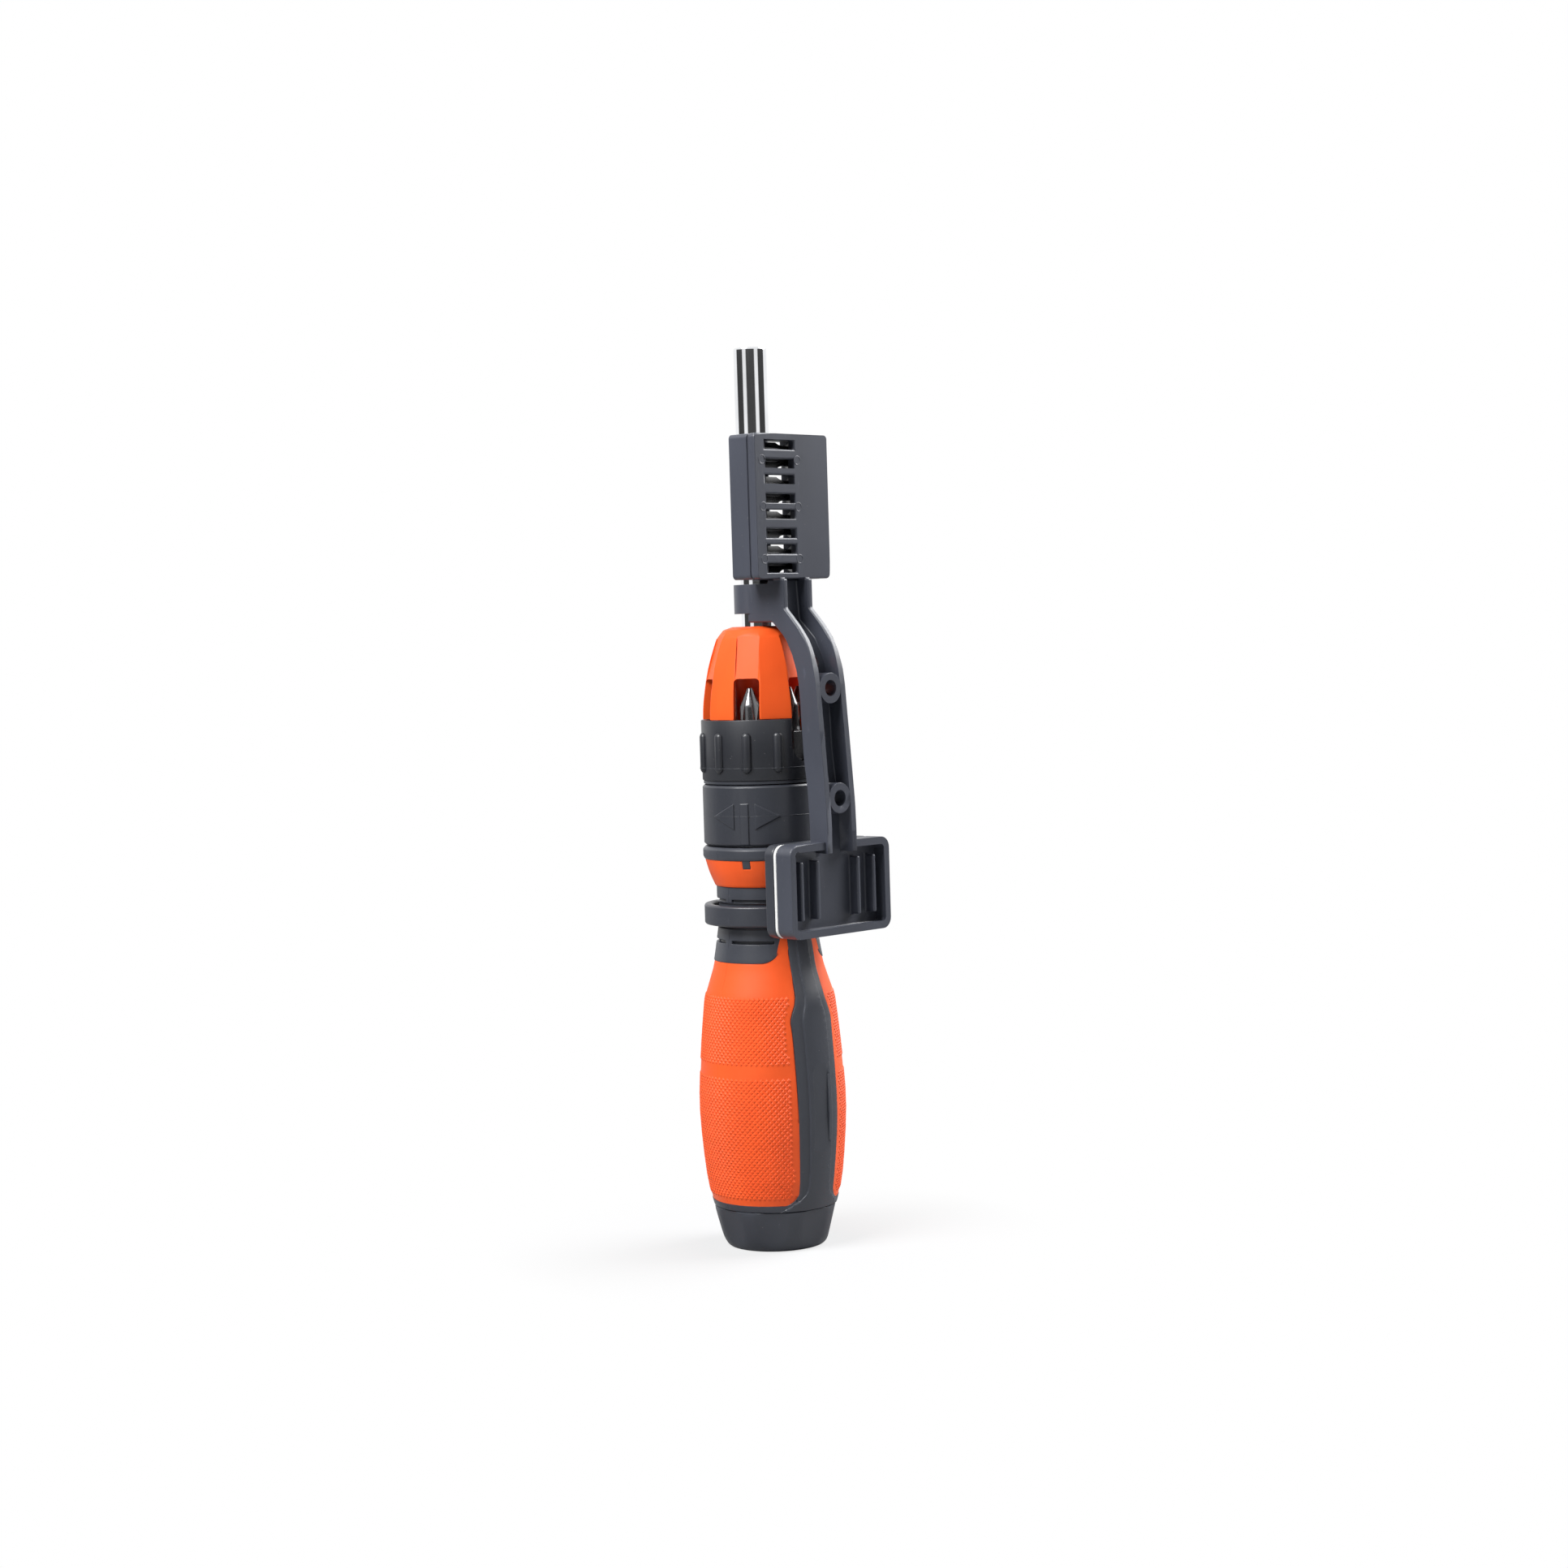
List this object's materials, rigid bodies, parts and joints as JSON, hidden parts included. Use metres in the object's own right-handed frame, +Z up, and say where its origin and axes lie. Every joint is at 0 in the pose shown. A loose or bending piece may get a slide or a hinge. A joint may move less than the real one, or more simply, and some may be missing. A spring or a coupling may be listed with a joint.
{
  "type": "ratcheting screwdriver",
  "caption": "Ratcheting screwdriver with a soft-grip handle, direction collar, bit-storage ring and windowed nose, clipped in a wall holder that carries spare bits.",
  "frame": {"origin": "centre of the end cap's flat base, on the surface that the tool stands on", "axes": "+Z up the shaft, +X towards the holder's arm and plates, +Y along the holder's plates"},
  "size_m": [0.0499, 0.0404, 0.2455],
  "materials": {
    "dark_plastic": "fine moulded texture",
    "black_plastic": "fine moulded texture",
    "holder_plastic": "fine spark texture",
    "orange_grip": "soft matte, diamond knurl bands",
    "orange_plastic": "satin",
    "chrome": "polished plate",
    "bit_steel": "satin sandblasted",
    "grey_metal": "sintered, oiled",
    "bright_steel": "bright",
    "magnet": "nickel plate",
    "foam": "closed-cell foam tape"
  },
  "bodies": {
    "handle": {"end_cap": "dark_plastic", "handle_core": "dark_plastic", "grip_left": "orange_grip", "grip_right": "orange_grip", "index_band": "orange_plastic", "ratchet_body": "grey_metal", "ratchet_cover": "grey_metal", "pawl_pins": "bright_steel", "pawl_spring_left": "bright_steel", "pawl_spring_right": "bright_steel", "detent_spring": "bright_steel"},
    "selector": {"selector_collar": "black_plastic"},
    "left_pawl": {"pawl_left": "grey_metal"},
    "right_pawl": {"pawl_right": "grey_metal"},
    "spindle": {"shaft": "chrome", "bit_magnet": "magnet", "ratchet_gear": "grey_metal", "thrust_washer": "bright_steel", "retaining_ring": "bright_steel", "bit_carrier": "black_plastic", "nose": "orange_plastic", "stored_bit_1": "bit_steel", "stored_bit_2": "bit_steel", "stored_bit_3": "bit_steel", "stored_bit_4": "bit_steel", "stored_bit_5": "bit_steel", "stored_bit_6": "bit_steel"},
    "ring": {"bit_ring": "black_plastic"},
    "holder": {"bracket": "holder_plastic", "bit_tray": "holder_plastic", "tray_bit_1": "bit_steel", "tray_bit_2": "bit_steel", "tray_bit_3": "bit_steel", "tray_bit_4": "bit_steel", "foam_pad": "foam", "neck_clip": "holder_plastic"}
  },
  "joints": [
    {"name": "shaft_spin", "type": "hinge", "parent": "handle", "child": "spindle", "pos_m": [0, 0, 0.1175], "axis": [0, 0, 1], "continuous": true},
    {"name": "ring_turn", "type": "hinge", "parent": "spindle", "child": "ring", "pos_m": [0, 0, 0.137], "axis": [0, 0, 1], "continuous": true},
    {"name": "selector_turn", "type": "hinge", "parent": "handle", "child": "selector", "pos_m": [0, 0, 0.119], "axis": [0, 0, 1], "range_deg": [-24, 24], "deforming": ["detent_spring"]},
    {"name": "left_pawl_swing", "type": "hinge", "parent": "handle", "child": "left_pawl", "pos_m": [0.0052, -0.0083, 0.1175], "axis": [0, 0, 1], "range_deg": [-8.3, 8.3], "deforming": ["pawl_spring_left"]},
    {"name": "right_pawl_swing", "type": "hinge", "parent": "handle", "child": "right_pawl", "pos_m": [0.0052, 0.0083, 0.1175], "axis": [0, 0, 1], "range_deg": [-8.3, 8.3], "deforming": ["pawl_spring_right"]},
    {"name": "holder_swivel", "type": "hinge", "parent": "handle", "child": "holder", "pos_m": [0, 0, 0.092], "axis": [0, 0, 1], "continuous": true}
  ],
  "couplings": [
    {"joint": "left_pawl_swing", "follows": "selector_turn", "ratio": -0.34553},
    {"joint": "right_pawl_swing", "follows": "selector_turn", "ratio": -0.34553}
  ]
}
